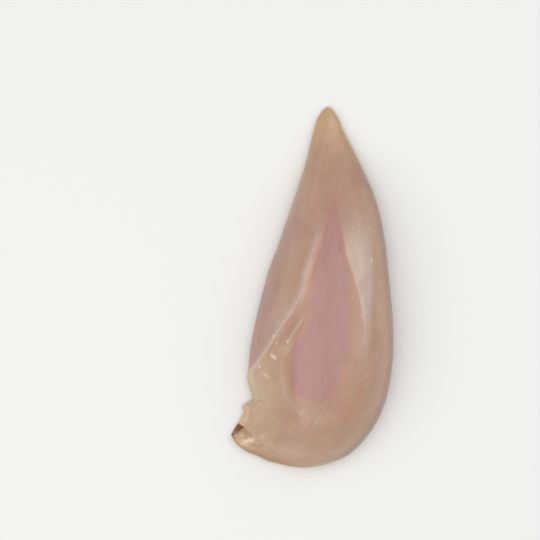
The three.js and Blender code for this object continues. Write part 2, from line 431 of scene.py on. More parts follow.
    def rims(self, stations: int) -> tuple[Array, Array]:
        """The left and the right rim, untorn, each from the shoulder end to the tail tip.

        Args:
            stations: How many steps each rim has.

        Returns:
            The left rim and the right rim, each stations + 1 rows of millimetres.
        """
        corners = (self.shoulder_end, *self.right_side, self.tail_tip, *self.left_side)
        line = catmull_rom(self.place(corners), self.outline_pieces, closed=True)
        tip = (len(self.right_side) + 1) * self.outline_pieces
        return self.spread(line[tip:][::-1], stations), self.spread(line[: tip + 1], stations)

    def in_frame(self, places: Array) -> Array:
        """Turns places in the form into places in the frame, where the solid lies.

        The length is made to fit the solid's, and then the right rim, the tail tip and the board
        are put where the solid has them.

        Args:
            places: One place or rows of places, in millimetres.

        Returns:
            The same places in metres.
        """
        right = self.rims(self.measured_steps)[1]
        scale = (CAD_HIGH.y - CAD_LOW.y) / np.ptp(right[:, 1])
        high_x, high_y = right.max(axis=0) * scale
        return places * scale + (CAD_HIGH.x - high_x, CAD_HIGH.y - high_y, CAD_LOW.z)

    def torn_by(self, y: Array, from_left: Array) -> Array:
        """How far the tears move a point to the right: for each tear, a tent along the rim times a
        bell of the distance in from it.

        Args:
            y: Places along.
            from_left: How far in from the left rim they lie.

        Returns:
            Millimetres, negative to the left.
        """
        moved = np.zeros_like(from_left)
        for tear in self.tears:
            away = y - tear.along * self.length
            reach = np.where(away < 0, tear.down, tear.up)
            tent = np.maximum(0.0, 1 - np.abs(away) / reach) ** tear.power
            moved += tear.depth * tent * bell(from_left, self.tear_influence * abs(tear.depth))
        return moved

    def inside(self, x: Array, y: Array) -> Array:
        """How far places lie inside the outline.

        It is the smaller of the distances to the thin left side and to the round rest of the rim,
        rounded off where the two are nearly the same.

        Args:
            x: Places across.
            y: Places along.

        Returns:
            Distances in millimetres.
        """
        left, right = self.rims(self.outline_steps)
        corner = int(np.argmax(left[:, 1] > self.torn_corner * self.length))
        round_side = np.vstack([right[::-1], left[1 : corner + 1]])
        a, b = (np.abs(nearest(line, x, y)[0]) for line in (left[corner:], round_side))
        over = np.maximum(self.blended * (a + b), 1e-6)
        close = np.maximum(1 - np.abs(a - b) / over, 0)
        return np.minimum(a, b) - close**2 * over / 4

    def leftness(self, x: Array, y: Array) -> Array:
        """0 on the plump right and in the tail, 1 on the thin left flank."""
        tail = smoothstep(y / self.length, *self.left_flank_along)
        return smoothstep(x, *self.left_flank_across) * (1 - tail)

    def tornness(self, x: Array, y: Array) -> Array:
        """1 on the left rim at the tears, fading along it and towards the plump right side."""
        return self.leftness(x, y) * bell(y - self.torn_rim.along * self.length, self.torn_rim.reach)

    def rim_height(self, x: Array, y: Array) -> Array:
        """Height of the widest line round the fillet, lower on the thin and torn left edge."""
        torn = (1 - self.thin_edge) * self.torn_rim.thinner * self.tornness(x, y)
        return profile(self.rim, y / self.length) * (1 - self.thin_edge * self.leftness(x, y) - torn)

    def skin_side(self, x: Array, y: Array, inside: Array) -> Array:
        """Height of the skin side without relief.

        The flank rises from the rim to the crown as (1 - (1 - n) to a power) to an ease, where n is
        the distance inside the outline as a share of the flank's reach. The crown falls with the
        square of the distance from its path.

        Args:
            x: Places across.
            y: Places along.
            inside: How far inside the outline they lie.

        Returns:
            Heights in millimetres.
        """
        share, left = y / self.length, self.leftness(x, y)
        rim = self.rim_height(x, y)
        reach = profile(self.flank_reach, share) * (1 + self.left_reach_gain * left)
        near = np.clip(inside / reach, 0.0, 1.0)
        ease = self.flank_ease_right + (self.flank_ease_left - self.flank_ease_right) * left
        ease = ease + self.torn_rim.flatter * self.tornness(x, y)
        flank = (1 - (1 - near) ** self.flank_power) ** ease
        aside = (x - profile(self.crown_path, share)) / self.half_width
        crown = self.thickness * profile(self.crown, share) * (1 - self.arch * aside**2)
        return rim + flank * (crown - rim)

    def underside(self, x: Array, y: Array, inside: Array) -> Array:
        """Height of the rib side: a quarter round under the rim, and then flat on the board.

        Args:
            x: Places across.
            y: Places along.
            inside: How far inside the outline they lie.

        Returns:
            Heights in millimetres.
        """
        reach = profile(self.flank_reach, y / self.length)
        near = np.clip(inside / np.minimum(self.roll_under, self.roll_most * reach), 0.0, 1.0)
        return self.rim_height(x, y) * (1 - np.sqrt(1 - (1 - near) ** 2))

    def rib_bed(self, x: Array, y: Array) -> tuple[Array, Array]:
        """How far right of the middle of the inner fillet's bed places lie, and how much in it."""
        off = x - self.bed_middle + self.bed_drift * (y / self.length)
        return off, self.bed.shown(off, y)

    def fold_relief(self, fold: Fold, x: Array, y: Array) -> Array:
        """The relief of one fold: a bell across its line, and a step down on its right side.

        Args:
            fold: The fold.
            x: Places across.
            y: Places along.

        Returns:
            Heights in millimetres.
        """
        off, share = nearest(self.fold_line(fold), x, y)
        fade = smoothstep(share, 0, fold.fade_in) * smoothstep(1 - share, 0, fold.fade_out)
        rise = bell(np.maximum(0, off), fold.back)
        lower = fold.drop * smoothstep(off / fold.step, *fold.step_lies) * rise
        return fade * (fold.height * bell(off, fold.width) - lower)

    def relief(self, x: Array, y: Array) -> Array:
        """All the low relief that the solid has too: waves, mounds and folds.

        Args:
            x: Places across.
            y: Places along.

        Returns:
            Heights in millimetres.
        """
        total = np.zeros_like(x)
        for wave in self.waves:
            turns = x / wave.across + y / wave.along
            total += wave.height * np.sin(2 * math.pi * turns + wave.phase)
        for mound in self.mounds:
            middle = self.place((mound.at,))[0]
            total += mound.height * bell(x - middle[0], mound.wide) * bell(y - middle[1], mound.long)
        for fold in (self.fascia_fold, self.right_fold, self.slit):
            total += self.fold_relief(fold, x, y)
        return total

    def relief_strength(self, x: Array, y: Array, inside: Array) -> Array:
        """How much of the relief shows: it comes in from the rim, and is calm in the tail.

        Args:
            x: Places across.
            y: Places along.
            inside: How far inside the outline they lie.

        Returns:
            Shares from 0 to 1.
        """
        calm = self.tail_calm * smoothstep(y / self.length, self.tail_calm_from, 1.0)
        sooner = (self.relief_margin - self.torn_rim.margin) * self.tornness(x, y)
        return (1 - calm) * smoothstep(inside / (self.relief_margin - sooner), 0, 1)


# Colours and finishes


def linear(hex_colour: str) -> tuple[float, float, float, float]:
    """An sRGB hex colour as linear red, green, blue and an alpha of 1.

    Args:
        hex_colour: A colour such as "#c09d88".

    Returns:
        The four linear numbers.
    """
    shares = [int(hex_colour[i : i + 2], 16) / 255 for i in (1, 3, 5)]
    lit = [c / 12.92 if c <= 0.04045 else ((c + 0.055) / 1.055) ** 2.4 for c in shares]
    return (*lit, 1.0)


def add_node(
    tree: bpy.types.NodeTree,
    kind: str,
    settings: dict[str, object] | None = None,
    inputs: dict[int | str, object] | None = None,
) -> bpy.types.Node:
    """Adds a shader node with its settings, and with its inputs set or linked.

    Args:
        tree: The material's node tree.
        kind: The node's type, such as ShaderNodeTexNoise.
        settings: The node's properties.
        inputs: A value, or an output socket to link from, for each input by its name or number.

    Returns:
        The new node.
    """
    made = tree.nodes.new(kind)
    for name, value in (settings or {}).items():
        setattr(made, name, value)
    for name, value in (inputs or {}).items():
        if isinstance(value, bpy.types.NodeSocket):
            tree.links.new(value, made.inputs[name])
        else:
            made.inputs[name].default_value = value
    return made


RGBA_MIX = {"data_type": "RGBA"}
MIX_FACTOR, MIX_A, MIX_B, MIX_OUT = 0, 6, 7, 2
MULTIPLY = {"operation": "MULTIPLY"}


def new_material(name: str) -> bpy.types.Material:
    """Makes a material with an empty node tree.

    Args:
        name: Its name.

    Returns:
        The material.
    """
    made = bpy.data.materials.new(name)
    made.use_nodes = True
    made.node_tree.nodes.clear()
    return made


class Zone(Enum):
    """A zone of the flesh, by the name of the mesh attribute that holds its strength from 0 to 1."""

    WARM = "warm_and_painted_light_lower_left"
    ROSE = "rose_blotch"
    PINK = "pink_heart"
    LILAC = "lilac_strip"
    BAND = "fascia_band_and_painted_sheen"
    PALE = "pale_and_painted_highlight"
    YELLOW = "yellow_edge_and_painted_shade"
    SHADE = "painted_shade_side"
    RED = "raw_red_and_painted_shadow"
    LINE = "fascia_line"
    GOLD = "yellow_fat"
    FAT_AND_PAINTED_GLINTS = "white_fat_and_painted_glints"


@dataclass(frozen=True)
class Bump:
    """How strongly a pattern stands in the surface, how deep it is, and whether it is sunk."""

    strength: float
    depth_mm: float
    sunk: bool = False


@dataclass(frozen=True)
class RawFlesh:
    """Raw chicken muscle, skinned by knife.

    Pale pink-beige, soft and see-through for some millimetres, so light bleeds round its edges, with
    a thin wet film that gives it a low broad gloss. The fibres run from the thick edge to the wing
    corner and show as faint streaks and a fine grain in the gloss. Each zone has its own tint, and
    some tints are painted light and shade: painted shade on the right rim, round the torn tip and
    beside the fold, painted shadow in the raw red slit, and painted highlights on the fascia band,
    the torn rim, the lower left and the flecks along the fold. Fat lies in small round lobules, and
    the raw inside of the slit is duller than the rest.
    """

    flesh: str = "#b99681"
    streak: str = "#c4a592"
    blotch: str = "#b08573"
    tints: tuple[tuple[Zone, str, float], ...] = (
        # warmer tone over the lower left, lighter as painted light
        (Zone.WARM, "#c3a285", 0.85),
        (Zone.ROSE, "#bb8a72", 0.75),
        (Zone.PINK, "#b2827e", 0.95),
        (Zone.LILAC, "#b0897f", 0.85),
        # white fascia on the right, lightened further as painted sheen
        (Zone.BAND, "#ccb9ab", 0.82),
        # pale cream, with painted highlight along the thin torn rim
        (Zone.PALE, "#cbb294", 0.85),
        # yellow of the thin edges, and painted shade on the tab's rim
        (Zone.YELLOW, "#ae8e5d", 0.92),
        # painted shade: darker brown along the right rim and round the torn tip
        (Zone.SHADE, "#8e725d", 0.9),
        # raw red meat in the slit, darkened as painted shadow under the flap
        (Zone.RED, "#762a0c", 1.0),
        (Zone.LINE, "#ceb2a6", 0.85),
        (Zone.GOLD, "#ccae7f", 0.85),
        # white fat, and painted glints on the flecks along the fold
        (Zone.FAT_AND_PAINTED_GLINTS, "#e9d8c0", 1.0),
    )
    fibre_spacing_mm: float = 1.3
    fibre_length_mm: float = 22.0
    fibre_swing: float = 0.019
    blotch_mm: float = 16.0
    mottle_mm: float = 6.0
    mottle_swing: float = 0.04
    grain_mm: float = 0.7
    lobule_mm: float = 1.2
    streaks: Mapped = ((0.45, 0.8), (0.0, 0.3))
    blotches: Mapped = ((0.48, 0.72), (0.0, 0.55))
    uneven_tint: Mapped = ((0.3, 0.7), (0.8, 1.0))
    lobed_fat: Mapped = ((0.25, 0.75), (1.0, 0.6))
    swing_over: Span = (0.3, 0.7)
    fibre_bump: Bump = Bump(0.28, 0.4)
    crease_bump: Bump = Bump(0.5, 0.5, sunk=True)
    grain_bump: Bump = Bump(0.3, 0.1)
    roughness: float = 0.4
    scatter_weight: float = 0.7
    scatter_mm: float = 3.2
    scatter_by_colour: tuple[float, float, float] = (1.0, 0.42, 0.28)
    ior: float = 1.39
    coat: float = 0.65
    coat_roughness: float = 0.14
    raw_share: float = 0.25

    def material(self) -> bpy.types.Material:
        """Builds the material: patterns, the tints laid over the flesh, the bump and the wet shader.

        Returns:
            The material.
        """
        made = new_material("raw_chicken_muscle_knife_skinned")
        tree = made.node_tree
        grain = add_node(tree, "ShaderNodeUVMap", {"uv_map": "grain"}).outputs["UV"]
        place = add_node(tree, "ShaderNodeTexCoord").outputs["Object"]
        masks = {
            zone: add_node(tree, "ShaderNodeAttribute", {"attribute_name": zone.value}).outputs["Fac"]
            for zone in Zone
        }

        # Fibre bundles: noise squeezed across the fibres and stretched along them
        scale = (1 / self.fibre_spacing_mm, 1 / self.fibre_length_mm, 1.0)
        run = add_node(tree, "ShaderNodeMapping", inputs={"Vector": grain, "Scale": scale})
        noises = (
            {"Vector": run.outputs[0], "Scale": 1.0, "Detail": 4.0, "Distortion": 0.35},
            {"Vector": place, "Scale": 1000 / self.mottle_mm, "Detail": 4.0},
            {"Vector": place, "Scale": 1000 / self.blotch_mm, "Detail": 2.0},
            {"Vector": place, "Scale": 1000 / self.grain_mm, "Detail": 2.0},
        )
        fibres, mottle, broad, fine = (
            add_node(tree, "ShaderNodeTexNoise", inputs=inputs).outputs["Fac"] for inputs in noises
        )
        lobules = add_node(
            tree,
            "ShaderNodeTexVoronoi",
            {"feature": "SMOOTH_F1"},
            {"Vector": place, "Scale": 1000 / self.lobule_mm, "Smoothness": 0.3},
        ).outputs["Distance"]

        # Streaks and blotches in the flesh, uneven tints, fat with the meat's colour in the creases
        # between its lobules, gentle light and dark over everything, and in the raw slit a thinner
        # wet film and less light let through
        ranges = (
            (fibres, *self.streaks, "SMOOTHSTEP"),
            (broad, *self.blotches, "SMOOTHSTEP"),
            (mottle, *self.uneven_tint, "LINEAR"),
            (lobules, *self.lobed_fat, "LINEAR"),
            (mottle, self.swing_over, (1 - self.mottle_swing, 1 + self.mottle_swing), "LINEAR"),
            (fibres, self.swing_over, (1 - self.fibre_swing, 1 + self.fibre_swing), "LINEAR"),
            (masks[Zone.RED], (0.0, 1.0), (1.0, self.raw_share), "LINEAR"),
        )
        streaks, blotches, uneven, lobed, mottle_light, fibre_light, wet = (
            add_node(
                tree,
                "ShaderNodeMapRange",
                {"interpolation_type": kind},
                {"Value": value, "From Min": low, "From Max": high, "To Min": first, "To Max": last},
            ).outputs[0]
            for value, (low, high), (first, last), kind in ranges
        )
        coat, scatter = (
            add_node(tree, "ShaderNodeMath", MULTIPLY, {0: wet, 1: most}).outputs[0]
            for most in (self.coat, self.scatter_weight)
        )

        layers = [(streaks, self.streak), (blotches, self.blotch)]
        for zone, tint, strength in self.tints:
            factor = masks[zone]
            for amount in (strength, lobed if zone is Zone.FAT_AND_PAINTED_GLINTS else uneven):
                factor = add_node(tree, "ShaderNodeMath", MULTIPLY, {0: factor, 1: amount}).outputs[0]
            layers.append((factor, tint))
        colour = linear(self.flesh)
        for factor, tint in layers:
            mixed = {MIX_FACTOR: factor, MIX_A: colour, MIX_B: linear(tint)}
            colour = add_node(tree, "ShaderNodeMix", RGBA_MIX, mixed).outputs[MIX_OUT]
        for light in (mottle_light, fibre_light):
            scaled = {0: colour, "Scale": light}
            colour = add_node(tree, "ShaderNodeVectorMath", {"operation": "SCALE"}, scaled).outputs[0]

        # The fibres and the lobules stand in the surface, and a fine wet grain breaks up the gloss
        in_fat = {0: lobules, 1: masks[Zone.FAT_AND_PAINTED_GLINTS]}
        creases = add_node(tree, "ShaderNodeMath", MULTIPLY, in_fat).outputs[0]
        bumps = ((fibres, self.fibre_bump), (creases, self.crease_bump), (fine, self.grain_bump))
        normal: dict[str, object] = {}
        for height, bump in bumps:
            depth = bump.depth_mm / 1000
            inputs = {"Height": height, "Strength": bump.strength, "Distance": depth, **normal}
            bumped = add_node(tree, "ShaderNodeBump", {"invert": bump.sunk}, inputs)
            normal["Normal"] = bumped.outputs[0]

        shader = add_node(
            tree,
            "ShaderNodeBsdfPrincipled",
            {"subsurface_method": "RANDOM_WALK"},
            {
                "Base Color": colour,
                "Roughness": self.roughness,
                "IOR": self.ior,
                "Normal": normal["Normal"],
                "Subsurface Weight": scatter,
                "Subsurface Radius": self.scatter_by_colour,
                "Subsurface Scale": self.scatter_mm / 1000,
                "Coat Weight": coat,
                "Coat Roughness": self.coat_roughness,
                "Coat Normal": normal["Normal"],
            },
        )
        add_node(tree, "ShaderNodeOutputMaterial", inputs={"Surface": shader.outputs[0]})
        return made


@dataclass(frozen=True)
class PaleFloor:
    """A plain matt pale floor, painted."""

    colour: str = "#eeedea"
    roughness: float = 0.9
    gloss: float = 0.1

    def material(self) -> bpy.types.Material:
        """Builds the material: matt paint with next to no gloss.

        Returns:
            The material.
        """
        made = new_material("matt_painted_floor")
        tree = made.node_tree
        paint = {
            "Base Color": linear(self.colour),
            "Roughness": self.roughness,
            "Specular IOR Level": self.gloss,
        }
        shader = add_node(tree, "ShaderNodeBsdfPrincipled", inputs=paint)
        add_node(tree, "ShaderNodeOutputMaterial", inputs={"Surface": shader.outputs[0]})
        return made


# Objects in the scene


def add_object(name: str, data: bpy.types.ID) -> bpy.types.Object:
    """Links a new object into the scene, at the origin.

    Args:
        name: Its name.
        data: Its mesh, light or camera.

    Returns:
        The object.
    """
    made = bpy.data.objects.new(name, data)
    bpy.context.scene.collection.objects.link(made)
    return made


# The flesh


# A smooth step that is over long before any place on the fillet
ANYWHERE: Span = (-2000.0, -1000.0)


@dataclass(frozen=True)
class Grid:
    """The skin of the fillet as rings of points, with what the zones need to know of each point.

    That is how far it lies inside the outline and in from the left rim, where it lies across and
    along the fibres (u and v), and whether it is on the skin side (1) or on the rib side (0).
    """

    x: Array
    y: Array
    z: Array
    inside: Array
    from_left: Array
    u: Array
    v: Array
    skin: Array


@dataclass(frozen=True)
class Patch:
    """A soft oval patch of a zone: its middle, its half length and half width along its turn in
    degrees, how strongly its colour shows, how far it stands up in millimetres, and how far its
    bell spreads, in half widths.
    """

    at: Span
    half: Span
    turn: float = 0.0
    strength: float = 1.0
    rise: float = 0.0
    softness: float = 0.8

    def spread(self, x: Array, y: Array) -> Array:
        """A bell of the distance from the middle, in half widths.

        Args:
            x: Places across.
            y: Places along.

        Returns:
            Numbers from 0 to 1.
        """
        turn = math.radians(self.turn)
        dx, dy = x - self.at[0], y - self.at[1]
        along = (dx * math.cos(turn) + dy * math.sin(turn)) / self.half[0]
        aside = (dy * math.cos(turn) - dx * math.sin(turn)) / self.half[1]
        return bell(np.hypot(along, aside), self.softness)


@dataclass(frozen=True)
class Area:
    """A wide soft area of a zone: how strong it is, and the spans of the way in from the rim, of
    places across and of places along over which it comes in.
    """

    zone: Zone
    strength: float
    inwards: Span = ANYWHERE
    across: Span = ANYWHERE
    along: Span = ANYWHERE

    def shown(self, grid: Grid) -> Array:
        """Its strength at each point of the rings: the product of three smooth steps."""
        over = smoothstep(grid.x, *self.across) * smoothstep(grid.y, *self.along)
        return self.strength * smoothstep(grid.inside, *self.inwards) * over


@dataclass(frozen=True)
class SkinMarks:
    """Where the marks of the skin side lie, in millimetres across and along the form.

    Stripes lie beside the fold, the second line, the smear, the band's edge, the ring or the border
    of the pink heart. A span says where a mark starts and where it is full.
    """

    form: FilletForm
    wobble: Noise = Noise(1.2, 3.6, 5, 11)
    fold_half: Pairs = ((0, 1.7), (0.25, 1.3), (0.45, 1.25), (0.65, 0.8), (1, 0.7))
    fold_middle: float = 0.25
    fold_shown: Span = (0.06, 0.4)
    breaks: Noise = Noise(1, 1, 1.4, 21)
    breaks_shown: Span = (0.6, 0.75)
    break_strength: float = 0.45
    haze: Stripe = Stripe(0.42, 5.6, 4, (0.5, 0.68, 1, 2))
    haze_inside: Span = (2, 7)
    # a rosy strip beside the fold, on the side of the heart, darkened as painted shade
    rose_and_painted_shade_strip: Stripe = Stripe(0.2, -2.2, 1.3)
    second_line: Fold = Fold(
        path=((-0.14, 0.42), (-0.22, 0.39), (-0.35, 0.353)),
        height=-0.22, width=0.7,
    )
    second_light: Stripe = Stripe(0.55, 0, 0.5, (0, 0.3, 1, 2))
    smear: Pairs = ((-23.4, 43.2), (-21.2, 41.4), (-19, 40))
    smear_light: Stripe = Stripe(0.9, 0, 0.8, (-1, 0, 0.3, 1))
    gap_width: Pairs = ((0, 7.4), (0.11, 6.8), (0.135, 5.6), (0.17, 3), (0.2, 0.9), (0.24, -0.6))
    gap_edge: Span = (-0.5, 0.5)
    pink_middle: Pairs = (
        (28, 0.5), (35, -0.5), (40, -1.2), (45, -0.5), (51, 1.5), (57.6, 3.2), (66, 5.2),
        (75.6, 6.4), (99.5, 7.4), (135, 7),
    )
    pink_half: Pairs = (
        (28, -1.5), (31, 3), (35, 8), (40, 11), (45, 12), (51, 12.6), (57.6, 11.5), (66, 10),
        (75.6, 8.8), (99.5, 5.9), (135, 4.5),
    )
    pink_edge: Span = (-2.2, 3.2)
    pink_end: Span = (136, 98)
    rose_fringe: Stripe = Stripe(0.75, -0.4, 2.6, (24, 34, 80, 110))
    lilac_width: Pairs = ((0, 16), (52, 15), (64, 9.5), (80, 7), (100, 6), (135, 4.5))
    lilac_edge: Span = (2.5, -2)
    lilac_off: Span = (0.1, 1.2)
    lilac_along: Window = (0, 0.2, 0.93, 1)
    band_edge: Pairs = (
        (9.6, 118), (12.4, 103), (14.2, 95.2), (16.4, 88.2), (18.3, 81.6), (20, 75), (20.7, 70.2),
        (21.2, 63.3), (21.3, 54),
    )
    band_pieces: int = 8
    band_along: Window = (0, 0.25, 0.66, 1.04)
    band_left: Span = (-0.9, 0.5)
    band_right: Span = (26.4, 23)
    # the band's bright left edge: fascia edge with painted highlight
    band_edge_and_painted_highlight: Stripe = Stripe(0.6, -0.35, 0.55, (0.1, 0.3, 0.7, 1))
    ring_middle: Span = (0.5, 44)
    ring_half: Span = (15.8, 20.5)
    ring_radius: float = 18.0
    ring_light: Stripe = Stripe(0.42, 0, 0.75)
    ring_clear_at: float = -2.3
    ring_clear_over: float = 0.7
    torn_in: Span = (5.5, 0.6)
    torn_along: Window = (16, 20, 40, 48)
    areas: tuple[Area, ...] = (
        # painted light: the lower left warmer and lighter
        Area(Zone.WARM, 1.0, across=(-8, -26), along=(66, 44)),
        Area(Zone.YELLOW, 1.0, inwards=(3.8, 0.6), across=(-33, -28), along=(30, 10)),
        Area(Zone.YELLOW, 0.3, inwards=(5, 0.5), along=(95, 120)),
        # painted shade along the right rim
        Area(Zone.SHADE, 1.0, inwards=(4.5, 0.3), across=(0, 20), along=(150, 120)),
        Area(Zone.GOLD, 0.7, along=(135, 160)),
    )
    rib_warmth: float = 0.3
    rib_rose: float = 0.8
    bed_pink: float = 0.6
    streaks_in_bed: float = 0.5
    streaks_beside: float = 0.3
    membrane: Noise = Noise(1, 2.6, 30, 31)
    membrane_clear: Span = (0.1, 0.8)
    rosiness: Noise = Noise(1, 11, 17, 33)
    rosiness_clear: Span = (0.1, 0.9)
    bed_lip: Stripe = Stripe(0.8, -13, 1.4, (14, 40, 88, 120))
    patches: tuple[tuple[Zone, tuple[Patch, ...]], ...] = (
        (Zone.ROSE, (
            Patch((14, 26.5), (5, 7), 20), Patch((20, 34), (3.5, 9), 0, 0.7),
            Patch((-11, 65), (2.6, 9), -25, 0.9), Patch((-2, 82), (2.4, 9), -12, 0.7),
            Patch((-9.5, 38), (3, 8), 12, 0.4), Patch((10.5, 37), (2.6, 6), -12, 0.7),
            Patch((-12, 24), (6, 4), -30, 0.5), Patch((-20, 72), (3, 10), -22, 0.5),
            Patch((-9, 86), (4, 14), -18, 0.4), Patch((33, 52), (3, 16), 0, 0.6),
            Patch((28, 22), (5, 6), 40, 0.5), Patch((27, 112), (3, 12), 12, 0.5),
            Patch((6, 130), (4, 10), 0, 0.4), Patch((-29.4, 14.2), (0.9, 0.6), -30, 0.7),
            Patch((-26, 9.6), (4.5, 1.2), -14, 0.6),
            Patch((-30.6, 15.2), (1.6, 0.8), -35, 0.8, 0.35),
            Patch((-22.5, 10.4), (4, 0.7), -8, 0.6),
        )),
        (Zone.PALE, (
            Patch((-13.6, 52.5), (1.3, 4.5), -10, 0.5), Patch((-15.2, 45), (1.0, 5), 0, 0.45),
            Patch((-11.6, 55), (1.4, 4.5), -15, 0.5), Patch((-13.6, 39), (2.4, 5), 10, 0.4),
            Patch((-17, 53.4), (4.4, 3), 35, 0.5), Patch((-25, 33), (6, 12), 10, 0.45),
            Patch((-25.6, 13.3), (2.4, 2.0), 10, 0.25, 0.4), Patch((-29.5, 21), (4, 8), -8, 0.3),
            Patch((-14, 9), (13, 3), -12, 0.4), Patch((4, 7), (14, 3), 4, 0.3),
            Patch((28, 66), (2.6, 12), 0, 0.4),
        )),
        (Zone.LINE, (Patch((-25.3, 48.6), (3, 0.9), 62, 0.5),)),
        (Zone.FAT_AND_PAINTED_GLINTS, (
            Patch((-28.5, 12.7), (1.8, 1.1), -8, 1.3, 0.3),
            Patch((-31, 11.6), (3.0, 1.5), 24, 0.85, 0.25),
            Patch((-32.8, 14.7), (1.3, 1.0), 0, 0.4, 0.5),
            # the next five: flecks along the fold, fat specks with painted glints
            Patch((-18.7, 50.6), (1.8, 0.75), -38, 1.8, 0.35),
            Patch((-18.5, 59.8), (0.9, 0.5), 60, 1.3, 0.2),
            Patch((-12.4, 57.6), (0.8, 0.5), 58, 1.4, 0.2),
            Patch((-24.9, 45.9), (0.9, 0.5), 65, 1.2, 0.2),
            Patch((-22, 42), (1.3, 0.5), -42, 1.0, 0.2),
            Patch((24.85, 93.2), (1.3, 0.5), 86, 1.2, 0.1), Patch((-28.6, 41), (5, 1.1), 98, 0.35),
        )),
        (Zone.GOLD, (
            Patch((-32.9, 14.9), (2.1, 1.7), 0, 0.8),
            Patch((-33.6, 10.6), (3.2, 1.8), -28, 0.6, 0.2),
            Patch((-36.2, 15.5), (1.3, 0.8), 30, 0.6),
            Patch((-17.9, 56.4), (1, 1.8), -20, 0.5, 0.3),
            Patch((-19.3, 53.2), (0.8, 1.2), -30, 0.4, 0.25),
        )),
        (Zone.YELLOW, (
            # the first darkens the tab's rim as painted shade over its yellow
            Patch((-34.4, 10.4), (3.0, 1.7), -34, 0.9), Patch((-26.6, 8.8), (5, 1.6), -14, 0.35),
        )),
        # raw red with painted shadow at the mouth of the slit
        (Zone.RED, (Patch((-36, 16.2), (1.4, 1.2), 30, 0.8),)),
        # painted shade round the torn tip of the tab
        (Zone.SHADE, (
            Patch((-36.8, 13.2), (1.8, 2.6), 20, 0.9), Patch((-33.6, 9.4), (3.4, 1.2), -36, 0.6),
        )),
        # fascia band with painted sheen
        (Zone.BAND, (Patch((22, 96), (2.6, 12), 0, 0.5),)),
    )

    def within_pink(self, x: Array, y: Array) -> Array:
        """How far places lie within the pink heart: its half width less the way to its middle."""
        return profile(self.pink_half, y) - np.abs(x - profile(self.pink_middle, y))

    def band(self, x: Array, y: Array) -> tuple[Array, Array]:
        """The white fascia band on the right and its bright left edge, partly painted highlight.

        Args:
            x: Places across.
            y: Places along.

        Returns:
            How strongly the band and the line show.
        """
        off, share = nearest(catmull_rom(np.array(self.band_edge), self.band_pieces), x, y)
        body = smoothstep(-off, *self.band_left) * smoothstep(x, *self.band_right)
        return body * window(share, *self.band_along), self.band_edge_and_painted_highlight.shown(off, share)

    def ring(self, x: Array, y: Array) -> Array:
        """The light crease under the heart: an oval line, clearest at the lower left.

        Args:
            x: Places across.
            y: Places along.

        Returns:
            How strongly it shows.
        """
        across = (x - self.ring_middle[0]) / self.ring_half[0]
        along = (y - self.ring_middle[1]) / self.ring_half[1]
        clear = bell(np.arctan2(along, across) - self.ring_clear_at, self.ring_clear_over)
        off = (np.hypot(across, along) - 1) * self.ring_radius
        return self.ring_light.shown(off, np.zeros_like(off)) * clear

    def gap(self, x: Array, y: Array) -> Array:
        """The open mouth of the slit: a wedge under the flap's edge, widest at the rim, partly
        painted shadow.

        Args:
            x: Places across.
            y: Places along.

        Returns:
            Numbers from 0 to 1.
        """
        off, share = nearest(self.form.fold_line(self.form.slit), x, y)
        left = profile(self.gap_width, share) - off
        return smoothstep(off, *self.gap_edge) * smoothstep(left, *self.gap_edge)

    def zones(self, grid: Grid) -> dict[Zone, Array]:
        """How strongly each zone shows at each point of the rings.

        Args:
            grid: The rings.

        Returns:
            For each zone, numbers from 0 to 1 in the shape of the rings.
        """
        x, y, inside, form = grid.x, grid.y, grid.inside, self.form
        wobble = self.wobble.at(x, y)
        off, share = nearest(form.fold_line(form.fascia_fold), x, y)
        near = bell((off - self.fold_middle) / profile(self.fold_half, share), 1.0)
        broken = smoothstep(share, *self.breaks_shown) * (self.breaks.at(x, y) > 0)
        line = near * smoothstep(share, *self.fold_shown) * (1 - self.break_strength * broken)
        haze = self.haze.shown(off, share) * smoothstep(inside, *self.haze_inside)
        second = self.second_light.shown(*nearest(form.fold_line(self.second_line), x, y))
        smear = self.smear_light.shown(*nearest(np.array(self.smear), x, y))
        within = self.within_pink(x, y)
        deep = inside - profile(self.lilac_width, y) - wobble
        lilac = smoothstep(off, *self.lilac_off) * smoothstep(deep, *self.lilac_edge)
        band, band_line = self.band(x, y)
        marks = {
            Zone.WARM: self.rib_warmth * (1 - grid.skin),
            # the strip beside the fold is rosy tone with painted shade
            Zone.ROSE: self.rose_fringe.shown(within, y) + self.rose_and_painted_shade_strip.shown(off, share),
            Zone.PINK: smoothstep(within + wobble, *self.pink_edge) * smoothstep(y, *self.pink_end),
            Zone.LILAC: lilac * window(share, *self.lilac_along),
            # white fascia band, partly painted sheen
            Zone.BAND: band,
            # the thin torn rim, paler as painted highlight
            Zone.PALE: smoothstep(grid.from_left, *self.torn_in) * window(y, *self.torn_along),
            # raw red meat in the slit, darkened as painted shadow
            Zone.RED: self.gap(x, y),
            # band_line is the band's bright edge, partly painted highlight
            Zone.LINE: line + haze + second + smear + self.ring(x, y) + band_line,
        }
        both_sides = {Zone.YELLOW, Zone.WARM, Zone.GOLD}
        ribs, patches = self.rib_zones(grid), dict(self.patches)
        shown = {}
        for zone in Zone:
            areas = sum(area.shown(grid) for area in self.areas if area.zone is zone)
            spots = sum(patch.strength * patch.spread(x, y) for patch in patches.get(zone, ()))
            skin = 1 if zone in both_sides else grid.skin
            total = (marks.get(zone, 0) + areas + spots) * skin
            shown[zone] = np.clip(total + ribs.get(zone, 0) * (1 - grid.skin), 0, 1)
        return shown

